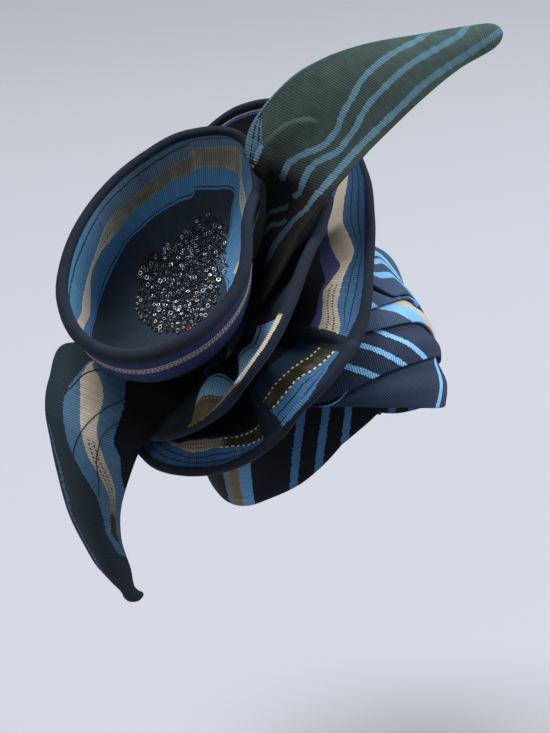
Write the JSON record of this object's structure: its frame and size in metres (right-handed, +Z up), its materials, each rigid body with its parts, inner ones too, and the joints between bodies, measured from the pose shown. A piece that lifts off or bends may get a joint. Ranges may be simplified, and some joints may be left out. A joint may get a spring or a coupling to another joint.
{
  "type": "gele head tie",
  "caption": "Tied gele head tie in striped ribbed cloth: a wrapped cap with pleated folds over the brow, and a side rosette of rolled-edge ruffles with a beaded bowl and tapering tails.",
  "frame": {"origin": "middle of the head hollow at its widest level, where the wearer's head carries the tie", "axes": "+Z up through the crown, -Y the way the wearer faces, -X the wearer's right, where the rosette sits"},
  "size_m": [0.3358, 0.2079, 0.3464],
  "materials": {
    "striped_cloth": "matte ribbed weave with woven stripes",
    "glass_beads": "glossy dark glass"
  },
  "bodies": {
    "root": {"cap": "striped_cloth", "brow_band": "striped_cloth", "front_fold_1": "striped_cloth", "front_fold_2": "striped_cloth", "front_fold_3": "striped_cloth", "crown_wrap": "striped_cloth", "outer_ruffle": "striped_cloth", "middle_ruffle": "striped_cloth", "rosette_bowl": "striped_cloth", "upper_tail": "striped_cloth", "lower_tail": "striped_cloth", "bead_cluster": "glass_beads"}
  },
  "joints": []
}
